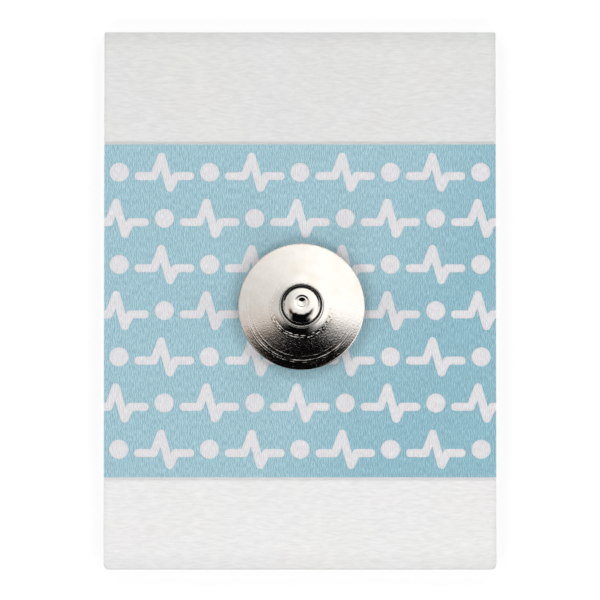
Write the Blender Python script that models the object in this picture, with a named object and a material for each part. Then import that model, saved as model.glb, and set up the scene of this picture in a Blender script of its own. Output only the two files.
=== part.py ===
"""Disposable ECG electrode: a foam pad with a printed label, a snap stud, a sensor eyelet and a gel disc.

It lies on its skin side at Z = 0. +X runs across the pad, +Y along it towards the longer bare end,
and +Z points up to the stud. The origin is the middle of the pad's underside. Sizes are in metres.
"""

import math

import bmesh
import bpy

# Foam pad
PAD_WIDTH = 0.0364
PAD_LENGTH = 0.0500
PAD_THICKNESS = 0.0010
PAD_SHARP_CORNER = 0.00015  # the two corners at the +Y end
PAD_ROUND_CORNER = 0.00045  # the two corners at the -Y end

# Label, cut to the pad's width, with its print
LABEL_LENGTH = 0.0310
LABEL_THICKNESS = 0.00010
LABEL_SHIFT_Y = -0.0010  # from the pad's middle
INK_THICKNESS = 0.00003

# Heartbeat trace and dot, left open in the print, on a half-drop repeat
PRINT_PITCH_X = 0.0084
PRINT_PITCH_Y = 0.0043
TRACE_LENGTH = 0.0048
TRACE_RISE = 0.0018
TRACE_DIP = 0.0011
TRACE_STROKE = 0.00078
DOT_DIAMETER = 0.0018
PRINT_MARGIN = 0.0003  # the rows are whole, this far inside the label's two ends

# Snap stud, drawn from sheet, with its rim turned down onto the label
STUD_X = 0.00014
STUD_Y = -0.00067
STUD_SHEET = 0.00030
STUD_HEIGHT = 0.0037
FLANGE_DIAMETER = 0.0118
RIM_HEIGHT = 0.00055
RIM_CORNER = 0.00025
FLANGE_RISE = 0.00050  # of the flange's top, from the rim to the collar's foot
BEAD_DIAMETER = 0.0102
BEAD_WIDTH = 0.00040
BEAD_DEPTH = 0.00006
FOOT_DIAMETER = 0.0055  # where the collar's foot meets the flange
FOOT_HEIGHT = 0.00040
COLLAR_DIAMETER = 0.00412  # a short steep wall under the neck
COLLAR_HEIGHT = 0.00030
COLLAR_CORNER = 0.00010
NECK_DIAMETER = 0.0033
HEAD_DIAMETER = 0.0039
HEAD_BELOW_TOP = 0.00090  # the head's widest circle
NECK_BELOW_TOP = 0.00175  # where the neck begins under the head
CROWN_DIAMETER = 0.0023
CROWN_DISH_DIAMETER = 0.0014
CROWN_DISH_DEPTH = 0.00010

# Sensor eyelet, under the label
EYELET_DIAMETER = 0.0100
EYELET_THICKNESS = 0.00045
POST_DIAMETER = 0.0023
POST_HEAD_DIAMETER = 0.0028  # the post's tip, spread inside the stud's head
POST_HEAD_HEIGHT = 0.00060
POST_TOP_GAP = 0.00015

# Hydrogel disc
GEL_DIAMETER = 0.0160

# Clearances
GLUE_LINE = 0.00003
SEAT_GAP = 0.00002
HOLE_CLEARANCE = 0.00015
GEL_CLEARANCE = 0.00010

# Facets
TURNED_FACETS = 48
WELL_FACETS = 48
CORNER_FACETS = 4
CAP_FACETS = 4
DOT_FACETS = 12
CUT_OVERSHOOT = 0.0005
MERGE_DISTANCE = 1e-7

# Levels, from the skin up
LABEL_BOTTOM = PAD_THICKNESS + GLUE_LINE
LABEL_TOP = LABEL_BOTTOM + LABEL_THICKNESS
INK_TOP = LABEL_TOP + INK_THICKNESS
STUD_SEAT = INK_TOP + SEAT_GAP
STUD_TOP = STUD_SEAT + STUD_HEIGHT
EYELET_TOP = LABEL_BOTTOM - SEAT_GAP
EYELET_BOTTOM = EYELET_TOP - EYELET_THICKNESS
GEL_TOP = PAD_THICKNESS

LABEL_HOLE_RADIUS = POST_DIAMETER / 2 + HOLE_CLEARANCE
WELL_RADIUS = GEL_DIAMETER / 2 + GEL_CLEARANCE


def remove_startup_objects():
    for thing in list(bpy.data.objects):
        bpy.data.objects.remove(thing)


def material(name, colour, roughness, metallic=0.0, alpha=1.0):
    """A Principled material. The colour is linear."""
    made = bpy.data.materials.new(name)
    made.use_nodes = True
    shader = made.node_tree.nodes["Principled BSDF"]
    shader.inputs["Base Color"].default_value = (*colour, 1.0)
    shader.inputs["Roughness"].default_value = roughness
    shader.inputs["Metallic"].default_value = metallic
    shader.inputs["Alpha"].default_value = alpha
    return made


def add_object(name, shape, finish=None, location=(0.0, 0.0, 0.0)):
    """Turns a bmesh into an object, with its faces pointing out."""
    bmesh.ops.recalc_face_normals(shape, faces=shape.faces)
    mesh = bpy.data.meshes.new(name)
    shape.to_mesh(mesh)
    shape.free()
    if finish:
        mesh.materials.append(finish)
    thing = bpy.data.objects.new(name, mesh)
    thing.location = location
    bpy.context.scene.collection.objects.link(thing)
    return thing


def add_prism(shape, outline, low, high):
    """Extrudes a closed outline of (x, y) points from one level to another."""
    base = shape.faces.new([shape.verts.new((x, y, low)) for x, y in outline])
    made = bmesh.ops.extrude_face_region(shape, geom=[base])["geom"]
    raised = [item for item in made if isinstance(item, bmesh.types.BMVert)]
    bmesh.ops.translate(shape, verts=raised, vec=(0.0, 0.0, high - low))


def add_cutter(name, shape, location=(0.0, 0.0, 0.0)):
    cutter = add_object(name, shape, location=location)
    cutter.hide_render = True
    cutter.display_type = "WIRE"
    return cutter


def cut(body, cutter):
    step = body.modifiers.new(cutter.name, "BOOLEAN")
    step.operation = "DIFFERENCE"
    step.object = cutter


def arc(centre_x, centre_y, radius_x, radius_y, start_deg, end_deg, facets):
    """Points along part of an ellipse, both ends included."""
    points = []
    for step in range(facets + 1):
        turn = math.radians(start_deg + (end_deg - start_deg) * step / facets)
        points.append((centre_x + radius_x * math.cos(turn), centre_y + radius_y * math.sin(turn)))
    return points


def circle(centre_x, centre_y, radius, facets):
    return arc(centre_x, centre_y, radius, radius, 0, 360, facets)[:-1]


def rectangle(width, low_y, high_y, low_corner=0.0, high_corner=0.0):
    """A rectangle across X = 0, with one corner radius at each end."""
    half = width / 2
    corners = (
        (half - high_corner, high_y - high_corner, high_corner, 0),
        (high_corner - half, high_y - high_corner, high_corner, 90),
        (low_corner - half, low_y + low_corner, low_corner, 180),
        (half - low_corner, low_y + low_corner, low_corner, 270),
    )
    points = []
    for x, y, radius, start in corners:
        if radius > 0:
            points += arc(x, y, radius, radius, start, start + 90, CORNER_FACETS)
        else:
            points.append((x, y))
    return points


def turned(name, profile, finish):
    """Spins a profile of (radius, z) points, from axis to axis, about the stud's axis."""
    shape = bmesh.new()
    points = [shape.verts.new((radius, 0.0, z)) for radius, z in profile]
    edges = [shape.edges.new(pair) for pair in zip(points, points[1:])]
    bmesh.ops.spin(
        shape,
        geom=points + edges,
        cent=(0.0, 0.0, 0.0),
        axis=(0.0, 0.0, 1.0),
        angle=math.tau,
        steps=TURNED_FACETS,
    )
    bmesh.ops.remove_doubles(shape, verts=shape.verts, dist=MERGE_DISTANCE)
    thing = add_object(name, shape, finish, (STUD_X, STUD_Y, 0.0))
    thing.data.shade_smooth()
    thing.data.set_sharp_from_angle(angle=math.radians(35))
    return thing


def make_foam_pad():
    shape = bmesh.new()
    half = PAD_LENGTH / 2
    outline = rectangle(PAD_WIDTH, -half, half, PAD_ROUND_CORNER, PAD_SHARP_CORNER)
    add_prism(shape, outline, 0.0, PAD_THICKNESS)
    foam = material("white_pe_foam", (0.80, 0.80, 0.79), 0.85)
    pad = add_object("foam_pad", shape, foam)

    well = bmesh.new()
    edge = circle(STUD_X, STUD_Y, WELL_RADIUS, WELL_FACETS)
    add_prism(well, edge, -CUT_OVERSHOOT, PAD_THICKNESS + CUT_OVERSHOOT)
    cut(pad, add_cutter("well_cutter", well))


def make_sheet(name, low, high, finish):
    """A sheet of the label's outline, with the hole that the eyelet's post goes through."""
    shape = bmesh.new()
    half = LABEL_LENGTH / 2
    outline = rectangle(PAD_WIDTH, LABEL_SHIFT_Y - half, LABEL_SHIFT_Y + half)
    add_prism(shape, outline, low, high)
    sheet = add_object(name, shape, finish)

    hole = bmesh.new()
    edge = circle(STUD_X, STUD_Y, LABEL_HOLE_RADIUS, TURNED_FACETS)
    add_prism(hole, edge, low - CUT_OVERSHOOT, high + CUT_OVERSHOOT)
    cut(sheet, add_cutter(name + "_hole_cutter", hole))
    return sheet


def stroke_outline(path, width):
    """The outline of a round pen drawn along a path: round ends, round outer bends, sharp inner ones."""
    reach = width / 2
    headings = [math.atan2(b[1] - a[1], b[0] - a[0]) for a, b in zip(path, path[1:])]
    quarter = math.pi / 2
    outline = []
    for forward in (True, False):
        points = path if forward else path[::-1]
        turns = headings if forward else [angle + math.pi for angle in headings[::-1]]
        for (x, y), before, after in zip(points[1:-1], turns, turns[1:]):
            bend = math.remainder(after - before, math.tau)
            if bend > 0:  # the pen's right side is the outside of this bend
                facets = max(1, round(bend / math.pi * CAP_FACETS))
                start = math.degrees(before - quarter)
                outline += arc(x, y, reach, reach, start, start + math.degrees(bend), facets)
            else:
                across = before + bend / 2 - quarter
                inset = reach / math.cos(bend / 2)
                outline.append((x + inset * math.cos(across), y + inset * math.sin(across)))
        x, y = points[-1]
        start = math.degrees(turns[-1] - quarter)
        outline += arc(x, y, reach, reach, start, start + 180, CAP_FACETS)
    return outline


def trace_path(x, y):
    """The pen's path for one heartbeat: level, a tall peak, a short dip, level. Its middle is at (x, y)."""
    half = TRACE_LENGTH / 2
    base = y - (TRACE_RISE - TRACE_DIP) / 2
    return [
        (x - half, base),
        (x - 0.40 * half, base),
        (x - 0.12 * half, base + TRACE_RISE),
        (x + 0.22 * half, base - TRACE_DIP),
        (x + 0.44 * half, base),
        (x + half, base),
    ]


def print_marks():
    """Outlines of the marks on the label: rows of traces and dots, each row half a pitch on.

    The rows stay whole inside the label's ends. The label's sides cut through them.
    """
    room = LABEL_LENGTH / 2 - PRINT_MARGIN
    row_reach = (TRACE_RISE + TRACE_DIP + TRACE_STROKE) / 2
    rows = math.floor((room - row_reach) / PRINT_PITCH_Y)
    columns = math.ceil(PAD_WIDTH / 2 / PRINT_PITCH_X)
    marks = []
    for row in range(-rows, rows + 1):
        y = LABEL_SHIFT_Y + row * PRINT_PITCH_Y
        for column in range(-columns, columns + 1):
            x = (column + 0.5 * (row % 2)) * PRINT_PITCH_X
            marks.append(stroke_outline(trace_path(x, y), TRACE_STROKE))
            marks.append(circle(x + PRINT_PITCH_X / 2, y, DOT_DIAMETER / 2, DOT_FACETS))
    return marks


def make_label():
    film = material("white_label_film", (0.76, 0.74, 0.76), 0.55)
    make_sheet("label_stock", LABEL_BOTTOM, LABEL_TOP, film)

    blue = material("pale_blue_ink", (0.34, 0.54, 0.62), 0.50)
    ink = make_sheet("label_ink", LABEL_TOP, INK_TOP, blue)
    marks = bmesh.new()
    for outline in print_marks():
        add_prism(marks, outline, LABEL_TOP - CUT_OVERSHOOT, INK_TOP + CUT_OVERSHOOT)
    cut(ink, add_cutter("print_cutter", marks))


def stud_outside():
    """(radius, z) points down the stud's outside, from the crown's middle to its seat on the label."""
    crown, head, dish = CROWN_DIAMETER / 2, HEAD_DIAMETER / 2, CROWN_DISH_DIAMETER / 2
    neck, collar, corner = NECK_DIAMETER / 2, COLLAR_DIAMETER / 2, COLLAR_CORNER
    foot, rim, bead = FOOT_DIAMETER / 2, FLANGE_DIAMETER / 2, BEAD_DIAMETER / 2
    widest = STUD_TOP - HEAD_BELOW_TOP
    neck_top = STUD_TOP - NECK_BELOW_TOP
    rim_top = STUD_SEAT + RIM_HEIGHT
    foot_z = rim_top + FLANGE_RISE
    collar_top = foot_z + FOOT_HEIGHT + COLLAR_HEIGHT

    def flange_z(radius):
        """The flange's gentle slope, straight from the collar's foot to the rim."""
        return rim_top + FLANGE_RISE * (rim - radius) / (rim - foot)

    points = [(0.0, STUD_TOP - CROWN_DISH_DEPTH), (0.6 * dish, STUD_TOP - 0.75 * CROWN_DISH_DEPTH)]
    points += [(dish, STUD_TOP)]
    points += arc(crown, widest, head - crown, HEAD_BELOW_TOP, 90, 0, 6)
    points += arc(neck, widest, head - neck, widest - neck_top, 0, -90, 4)[1:]
    points += [(neck, collar_top + corner)]
    points += arc(collar - corner, collar_top - corner, corner, corner, 90, 0, 2)
    points += arc(foot, foot_z + FOOT_HEIGHT, foot - collar, FOOT_HEIGHT, 180, 270, 4)
    points += [(bead - BEAD_WIDTH / 2, flange_z(bead - BEAD_WIDTH / 2))]
    points += [(bead, flange_z(bead) - BEAD_DEPTH)]
    points += [(bead + BEAD_WIDTH / 2, flange_z(bead + BEAD_WIDTH / 2))]
    points += arc(rim - RIM_CORNER, rim_top - RIM_CORNER, RIM_CORNER, RIM_CORNER, 90, 0, 4)
    points += [(rim, STUD_SEAT)]
    return points


def stud_inside():
    """(radius, z) points up the stud's inside, from its seat on the label to the crown's underside."""
    crown, head = CROWN_DIAMETER / 2, HEAD_DIAMETER / 2 - STUD_SHEET
    neck, foot = NECK_DIAMETER / 2 - STUD_SHEET, FOOT_DIAMETER / 2
    rim = FLANGE_DIAMETER / 2 - STUD_SHEET
    widest = STUD_TOP - HEAD_BELOW_TOP
    neck_top = STUD_TOP - NECK_BELOW_TOP
    rim_top = STUD_SEAT + RIM_HEIGHT - STUD_SHEET
    foot_z = rim_top + FLANGE_RISE
    foot_height = FOOT_HEIGHT + COLLAR_HEIGHT
    ceiling = STUD_TOP - CROWN_DISH_DEPTH - STUD_SHEET
    points = [(rim, STUD_SEAT), (rim, rim_top)]
    points += arc(foot, foot_z + foot_height, foot - neck, foot_height, 270, 180, 4)
    points += [(neck, neck_top), (head, widest), (head, widest + 0.2 * HEAD_BELOW_TOP)]
    points += [(crown - STUD_SHEET / 2, ceiling), (0.0, ceiling)]
    return points


def make_snap_stud():
    nickel = material("nickel_plated_brass", (0.76, 0.73, 0.69), 0.16, metallic=1.0)
    turned("snap_stud", stud_outside() + stud_inside(), nickel)


def make_sensor_eyelet():
    flange, post = EYELET_DIAMETER / 2, POST_DIAMETER / 2
    tip = STUD_TOP - CROWN_DISH_DEPTH - STUD_SHEET - POST_TOP_GAP
    spread = POST_HEAD_DIAMETER / 2
    profile = [(0.0, EYELET_BOTTOM), (flange, EYELET_BOTTOM), (flange, EYELET_TOP)]
    profile += [(post, EYELET_TOP), (post, tip - POST_HEAD_HEIGHT)]
    profile += [(spread, tip - 0.6 * POST_HEAD_HEIGHT), (spread, tip - 0.3 * POST_HEAD_HEIGHT)]
    profile += [(0.7 * spread, tip), (0.0, tip)]
    silver = material("silver_chloride_coat", (0.42, 0.41, 0.42), 0.45, metallic=0.6)
    turned("sensor_eyelet", profile, silver)


def make_gel_disc():
    edge = GEL_DIAMETER / 2
    recess = EYELET_DIAMETER / 2 + GEL_CLEARANCE
    floor = EYELET_BOTTOM - SEAT_GAP
    profile = [(0.0, 0.0), (edge, 0.0), (edge, GEL_TOP)]
    profile += [(recess, GEL_TOP), (recess, floor), (0.0, floor)]
    gel = material("hydrogel", (0.72, 0.80, 0.82), 0.12, alpha=0.6)
    turned("gel_disc", profile, gel)


def main():
    remove_startup_objects()
    make_foam_pad()
    make_label()
    make_snap_stud()
    make_sensor_eyelet()
    make_gel_disc()


main()
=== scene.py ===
# %% [markdown]
# # A disposable ECG electrode, seen from above
#
# The real thing is a patch of white foam, 36 by 50 mm, that is stuck on the chest. A printed label runs
# across it, a nickel-plated snap stud stands in the middle for the lead wire, and underneath, in a well
# in the foam, a disc of wet gel touches the skin.
#
# The CAD model comes first. Its solids are right in size and place but plain. Each step below keeps that
# place and makes a finer surface and a finish.

# %% Load the CAD model
import math

import bmesh
import bpy
import numpy as np
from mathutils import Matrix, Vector, noise


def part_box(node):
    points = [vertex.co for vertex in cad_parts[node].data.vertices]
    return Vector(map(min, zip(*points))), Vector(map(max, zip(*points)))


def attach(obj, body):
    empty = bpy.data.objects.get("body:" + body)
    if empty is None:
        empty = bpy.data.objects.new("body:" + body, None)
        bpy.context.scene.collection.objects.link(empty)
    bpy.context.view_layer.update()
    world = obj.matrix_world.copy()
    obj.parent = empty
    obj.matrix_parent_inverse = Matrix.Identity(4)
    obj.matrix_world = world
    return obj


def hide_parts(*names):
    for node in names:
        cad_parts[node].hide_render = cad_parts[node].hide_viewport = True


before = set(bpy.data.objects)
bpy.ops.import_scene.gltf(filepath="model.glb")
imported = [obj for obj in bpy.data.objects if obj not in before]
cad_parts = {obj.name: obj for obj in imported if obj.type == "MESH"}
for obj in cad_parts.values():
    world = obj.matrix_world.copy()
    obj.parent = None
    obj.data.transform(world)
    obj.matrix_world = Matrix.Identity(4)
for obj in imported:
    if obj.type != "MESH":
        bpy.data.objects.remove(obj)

MM = 0.001
scene = bpy.context.scene
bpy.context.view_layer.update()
for name in sorted(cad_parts):
    low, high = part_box(name)
    print(name, "mm:", [round(side / MM, 2) for side in high - low])

# %% [markdown]
# ## Small tools
#
# Colours are easiest to read as hex values. Blender works in linear light, so one function turns a hex
# value into linear numbers. A second one adds a node to any tree, with its links and its settings in one
# call, so that a whole material reads like a list.

# %% Colour and node helpers
def linear(hex_colour):
    """The linear colour, with alpha, of an sRGB hex value such as '#A0C3CF'."""
    channels = [int(hex_colour[place:place + 2], 16) / 255 for place in (1, 3, 5)]
    return (*(c / 12.92 if c <= 0.04045 else ((c + 0.055) / 1.055) ** 2.4 for c in channels), 1.0)


def add(tree, kind, inputs=None, settings=None):
    """Adds a node. Its kind is its type, without GeometryNode or ShaderNode in front of it.

    Settings are its properties. They switch on the sockets that belong to them, and inputs go by the name
    or number of those. Each is a value, a hex colour, a socket, or a node whose first output is linked.
    """
    prefixes = ("GeometryNode", "ShaderNode", "")
    made = tree.nodes.new(next(start + kind for start in prefixes if hasattr(bpy.types, start + kind)))
    for name, value in (settings or {}).items():
        setattr(made, name, value)
    switched_on = [socket for socket in made.inputs if socket.enabled]
    for name, value in (inputs or {}).items():
        names = [socket.name for socket in switched_on]
        socket = switched_on[name if isinstance(name, int) else names.index(name)]
        if isinstance(value, bpy.types.Node):
            value = next(output for output in value.outputs if output.enabled)
        if isinstance(value, bpy.types.NodeSocket):
            tree.links.new(value, socket)
        else:
            socket.default_value = linear(value) if isinstance(value, str) else value
    return made


def in_scene(name, data):
    """A new object that shows this mesh, lamp or camera."""
    made = bpy.data.objects.new(name, data)
    scene.collection.objects.link(made)
    return made


def empty_material(name):
    """A new material, and its tree to fill."""
    made = bpy.data.materials.new(name)
    made.use_nodes = True
    made.node_tree.nodes.clear()
    return made, made.node_tree


# Settings that many nodes share
PLUS, MINUS, TIMES = {"operation": "ADD"}, {"operation": "SUBTRACT"}, {"operation": "MULTIPLY"}
TIMES_PLUS, LARGER = {"operation": "MULTIPLY_ADD"}, {"operation": "MAXIMUM"}
SMOOTH = {"interpolation_type": "SMOOTHSTEP"}
COLOURS = {"data_type": "RGBA"}
COLOURS_TIMES = {"data_type": "RGBA", "blend_type": "MULTIPLY"}
print("label blue in linear light:", [round(c, 3) for c in linear("#A0C3CF")[:3]])

# %% [markdown]
# ## The camera
#
# The photograph looks straight down, but not quite: the stud's head sits two pixels above the middle of
# its flange, so the camera leans back by four and a half degrees. The pad's two long sides stay parallel,
# which means a long lens from far away. The lens follows from the pad's width in the picture.

# %% Camera
PICTURE_WIDTH = 600  # pixels
PAD_IN_PICTURE = 391.9  # pixels, from side to side
CAMERA_LEAN = math.radians(4.5)
CAMERA_DISTANCE = 0.8

pad_low, pad_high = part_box("foam_pad")
view_width = (pad_high.x - pad_low.x) * PICTURE_WIDTH / PAD_IN_PICTURE
aim = Vector((0.0, 0.0, pad_high.z))

camera_data = bpy.data.cameras.new("camera")
camera_data.lens = camera_data.sensor_width * CAMERA_DISTANCE / view_width
camera = in_scene("camera", camera_data)
camera.location = aim + CAMERA_DISTANCE * Vector((0.0, -math.sin(CAMERA_LEAN), math.cos(CAMERA_LEAN)))
camera.rotation_euler = (CAMERA_LEAN, 0.0, 0.0)
bpy.context.scene.camera = camera
print("lens, mm:", round(camera_data.lens))

# %% [markdown]
# ## The studio
#
# The electrode lies on a white table under soft light from all round, a little brighter from the front.
# White foam needs a plain level of light, or it loses its texture.
#
# Bright nickel shows nothing but what it reflects, so a room is drawn for it in the world's nodes. A room
# could be modelled too, but a few numbers are quicker to match to the reflections. A direction has three
# parts, across, forward and upward, each from -1 to 1, and upward is the sine of its angle above the
# horizon. The front is dark, where the camera stands. The rest has a softbox overhead, a dim part below
# it, and low white walls round the table.

# %% World
scene.view_settings.view_transform = "Standard"
world = bpy.data.worlds.new("studio")
scene.world = world
world.use_nodes = True
room = world.node_tree
room.nodes.clear()
direction = add(room, "TexCoord").outputs["Generated"]
across, forward, upward = add(room, "SeparateXYZ", {0: direction}).outputs
print("parts of a direction:", across.name, forward.name, upward.name)

# %% The dark front
# It begins almost overhead and is as wide as the camera's stand. Its edges are soft.
FRONT_EDGE = 0.145

sideways = add(room, "Math", {0: across, 1: 0.03}, PLUS)
sideways = add(room, "Math", {0: sideways}, {"operation": "ABSOLUTE"})
front = add(room, "Math", {0: across, 1: 0.04, 2: -0.01}, TIMES_PLUS)
front = add(room, "Math", {0: front, 1: forward}, MINUS)
in_front = add(room, "MapRange", {"Value": front, "From Max": FRONT_EDGE}, SMOOTH)
as_wide = add(room, "MapRange", {
    "Value": sideways, "From Min": 0.34, "From Max": 0.56, "To Min": 1.0, "To Max": 0.0,
}, SMOOTH)
dark = add(room, "Math", {0: in_front, 1: as_wide}, TIMES)
clear = add(room, "Math", {0: 1.0, 1: dark}, MINUS)
print("the front is dark up to, degrees:", round(90 - math.degrees(math.asin(FRONT_EDGE))))

# %% Softbox, walls and window
DIM_PART, WALL_LIGHT = 0.010, 0.6
WINDOW, WINDOW_LIGHT = (0.36, -0.46, 0.81), 0.30  # small and high, in front on the right

# The softbox is brightest to the right and the back.
slope = add(room, "Math", {0: forward, 1: 0.4, 2: across}, TIMES_PLUS)
softbox = add(room, "MapRange", {
    "Value": slope, "From Min": -0.35, "From Max": 0.25, "To Min": 0.78, "To Max": 1.36,
})
# It ends between 42 and 44 degrees above the horizon, and the walls between 14 and 21.
overhead = add(room, "MapRange", {
    "Value": upward, "From Min": 0.67, "From Max": 0.70, "To Min": DIM_PART, "To Max": 1.0,
}, SMOOTH)
low_walls = add(room, "MapRange", {
    "Value": upward, "From Min": 0.24, "From Max": 0.36, "To Min": WALL_LIGHT, "To Max": 0.0,
}, SMOOTH)
surround = add(room, "Math", {0: overhead, 1: low_walls}, PLUS)
lit = add(room, "Math", {0: softbox, 1: surround}, TIMES)
from_window = add(room, "VectorMath", {0: direction, 1: WINDOW}, {"operation": "DISTANCE"})
window = add(room, "MapRange", {
    "Value": from_window, "From Min": 0.05, "From Max": 0.20, "To Min": WINDOW_LIGHT, "To Max": 0.003,
}, SMOOTH)
level = add(room, "Math", {0: lit, 1: clear, 2: window}, TIMES_PLUS)
print("nodes in the room:", len(room.nodes))

# %% A wooden shelf
# It hangs high in front on the left. What reflects it turns a little brown.
SHELF = (-0.36, -0.20, 0.91)

from_shelf = add(room, "VectorMath", {0: direction, 1: SHELF}, {"operation": "DISTANCE"})
wooden = add(room, "MapRange", {
    "Value": from_shelf, "From Min": 0.08, "From Max": 0.30, "To Min": 1.0, "To Max": 0.0,
}, SMOOTH)
WHITE = "#FFFFFF"
walls = add(room, "Mix", {"Factor": wooden, "A": WHITE, "B": "#FFEADC"}, COLOURS)
print("shelf, degrees above the horizon:", round(math.degrees(math.asin(SHELF[2]))))

# %% [markdown]
# ### What each ray sees
#
# The room shows only in reflections. The camera sees plain white behind the electrode, and so does a ray
# that goes through the gel. A matt surface gets an even light, also by way of the metal.

# %% Rays
SKY_LIGHT = 0.14

paths = add(room, "LightPath").outputs
even_light = add(room, "Background", {"Color": WHITE, "Strength": SKY_LIGHT})
room_seen = add(room, "Background", {"Color": walls, "Strength": level})
white_seen = add(room, "Background", {"Color": WHITE, "Strength": 1.0})
no_matt_yet = add(room, "Math", {0: paths["Diffuse Depth"], 1: 0.5}, {"operation": "LESS_THAN"})
mirrored = add(room, "Math", {0: paths["Is Glossy Ray"], 1: no_matt_yet}, TIMES)
glossy = add(room, "MixShader", {0: mirrored, 1: even_light, 2: room_seen})
straight = add(room, "Math", {0: paths["Is Camera Ray"], 1: paths["Is Transmission Ray"]}, LARGER)
seen = add(room, "MixShader", {0: straight, 1: glossy, 2: white_seen})
add(room, "OutputWorld", {"Surface": seen})
print("even light from the sky:", SKY_LIGHT)

# %% Lamps
LAMP_DISTANCE = 0.60
LAMP_SIZE = 0.20
LAMP_HEIGHT = math.radians(26)  # above the table, as seen from the electrode
LAMPS = ("right", "back_right", "back_left", "left", "front_left", "front_right")  # 60 degrees apart
SHARE, FRONT_SHARE = 0.143, 0.153

light = SKY_LIGHT
for number, name in enumerate(LAMPS):
    share = FRONT_SHARE if "front" in name else SHARE
    light += share
    data = bpy.data.lights.new(name + "_lamp", "AREA")
    data.size = LAMP_SIZE
    # A surface that faces up gets this share of the light that shows its colour as it is written.
    data.energy = share * (math.pi * LAMP_DISTANCE) ** 2 / math.sin(LAMP_HEIGHT)
    lamp = in_scene(name + "_lamp", data)
    turned = math.radians(60 * number)
    place = Vector((math.cos(turned), math.sin(turned), math.tan(LAMP_HEIGHT)))
    lamp.location = place * LAMP_DISTANCE * math.cos(LAMP_HEIGHT)
    lamp.rotation_euler = (-place).to_track_quat("-Z", "Y").to_euler()
    lamp.visible_glossy = False
print("light on a level surface:", round(light, 2))

# %% Table
HALF_TABLE = 0.5
TABLE_DROP = 0.02 * MM  # just under the pad, so that the two faces don't meet
TABLE_GLOW = 0.78

table_mesh = bpy.data.meshes.new("table")
corners = [(x * HALF_TABLE, y * HALF_TABLE, -TABLE_DROP) for x, y in ((-1, -1), (1, -1), (1, 1), (-1, 1))]
table_mesh.from_pydata(corners, [], [(0, 1, 2, 3)])
table = in_scene("table", table_mesh)

# The paper is lit by the lamps for part of its white. The rest it gives itself where the camera or a
# reflection sees it, so it comes out white with a faint shadow.
paper, tree = empty_material("white_paper_table")
paths = add(tree, "LightPath").outputs
seen = add(tree, "Math", {0: paths["Is Camera Ray"], 1: paths["Is Glossy Ray"]}, LARGER)
seen = add(tree, "Math", {0: seen, 1: paths["Is Transmission Ray"]}, LARGER)
glow = add(tree, "Math", {0: seen, 1: TABLE_GLOW}, TIMES)
matt = add(tree, "BsdfDiffuse", {"Color": "#8A8A8A"})
self_lit = add(tree, "Emission", {"Color": WHITE, "Strength": glow})
both = add(tree, "AddShader", {0: matt, 1: self_lit})
add(tree, "OutputMaterial", {"Surface": both})
table_mesh.materials.append(paper)
print("table, m:", 2 * HALF_TABLE)

# %% [markdown]
# ## How the layers lie
#
# Foam is never quite flat. It rises and falls by a few hundredths of a millimetre over a centimetre, and
# the label that is stuck on it follows. One function says how far a point of any layer is lifted, so the
# foam, the film and its ink stay together. It fades to nothing under the stud, which presses the layers
# flat, and towards the skin side, which rests on the table.

# %% The shared rise and fall
stud_low, stud_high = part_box("snap_stud")
STUD_AXIS = Vector(((stud_low.x + stud_high.x) / 2, (stud_low.y + stud_high.y) / 2, 0.0))
FLANGE_RADIUS = (stud_high.x - stud_low.x) / 2
WAVE_HEIGHT = 0.035 * MM
WAVE_LENGTH = 9.0 * MM
WAVE_SLICE = 3.7  # where the noise is cut, which picks one wavy sheet of many
PRESSED_FLAT = 0.3 * MM  # past the flange's rim
WAVES_BEGIN = 3.0 * MM  # past that


def smooth_step(value, low, high):
    """0 below low, 1 above high, and a smooth rise between them."""
    share = min(1.0, max(0.0, (value - low) / (high - low)))
    return share * share * (3.0 - 2.0 * share)


def layer_lift(x, y, z):
    """How far the point (x, y, z) of a layer is lifted from its flat place."""
    from_stud = math.hypot(x - STUD_AXIS.x, y - STUD_AXIS.y) - FLANGE_RADIUS - PRESSED_FLAT
    wave = noise.noise(Vector((x / WAVE_LENGTH, y / WAVE_LENGTH, WAVE_SLICE)))
    return WAVE_HEIGHT * wave * smooth_step(from_stud, 0.0, WAVES_BEGIN) * smooth_step(z, 0.0, pad_high.z)


def lift_layer(mesh):
    """Lays a flat mesh on the shared rise and fall."""
    for vertex in mesh.vertices:
        vertex.co.z += layer_lift(*vertex.co)


print("lift at a corner, mm:", round(layer_lift(*pad_high) / MM, 4))

# %% [markdown]
# ## The foam pad
#
# The pad is die cut from a sheet of closed-cell polyethylene foam. A cube would do for its size, but its
# edges would be sharp as glass and there would be no points between them to move. This mesh is a fine
# grid on top and below, joined by rings down the cut wall. A square grid can't have round corners, so
# near a corner each point is pulled from its square ring onto the circle of the same size.

# %% Grid and corners
EDGE_STEPS = (0.0, 0.03, 0.08, 0.15, 0.24, 0.36, 0.52, 0.75)  # mm from an edge, where the grid is finer
GRID_STEP = 0.36 * MM


def grid_places(size):
    """Places from -size / 2 to size / 2, closer together at both ends."""
    ends = np.array(EDGE_STEPS) * MM
    middle = np.linspace(ends[-1], size - ends[-1], max(2, round(size / GRID_STEP)))[1:-1]
    return np.concatenate([ends, middle, size - ends[::-1]]) - size / 2


def round_corner(x, y, half_x, half_y, radius):
    """Moves a point of a rectangle onto the same rectangle with round corners."""
    past_x, past_y = abs(x) - (half_x - radius), abs(y) - (half_y - radius)
    if past_x <= 0 or past_y <= 0:
        return x, y
    pull = max(past_x, past_y) / math.hypot(past_x, past_y)
    round_x = half_x - radius + past_x * pull
    round_y = half_y - radius + past_y * pull
    return math.copysign(round_x, x), math.copysign(round_y, y)


print("grid points along the pad:", len(grid_places(pad_high.y - pad_low.y)))

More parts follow.
